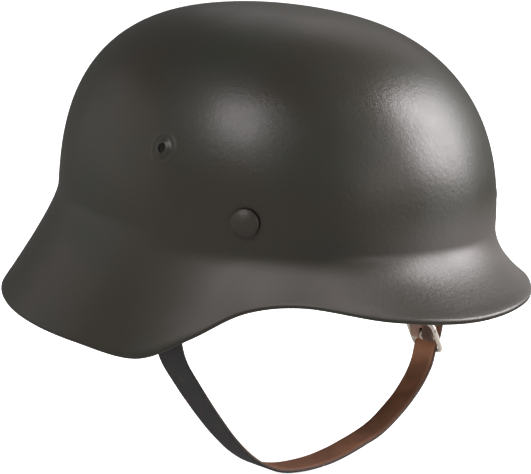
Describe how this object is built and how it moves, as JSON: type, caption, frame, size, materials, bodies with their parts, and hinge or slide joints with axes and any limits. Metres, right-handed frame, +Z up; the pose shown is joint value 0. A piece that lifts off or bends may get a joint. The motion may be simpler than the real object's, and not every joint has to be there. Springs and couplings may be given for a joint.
{
  "type": "steel combat helmet with chin strap",
  "caption": "Deep steel combat helmet with a rolled edge, flared visor and neck guard, side vents, domed split pins and a buckled leather chin strap.",
  "frame": {"origin": "middle of the head space, at the height where the dome is widest and the liner band seats", "axes": "+Z up, -Y to the visor, -X to the wearer's right"},
  "size_m": [0.234, 0.2881, 0.2282],
  "materials": {
    "field_paint": "semi-matte dark grey-green paint with a fine grain",
    "bare_steel": "plain grey metal, dull",
    "strap_leather": "smooth vegetable-tanned leather, blackened outside and brown inside",
    "buckle_metal": "bright plated wire"
  },
  "bodies": {
    "root": {"shell": "field_paint", "liner_band": "bare_steel", "split_pin_right": "field_paint", "split_pin_left": "field_paint", "split_pin_rear": "field_paint", "chin_strap": "strap_leather", "buckle_strap": "strap_leather", "buckle_frame": "buckle_metal", "buckle_prong": "buckle_metal"}
  },
  "joints": []
}
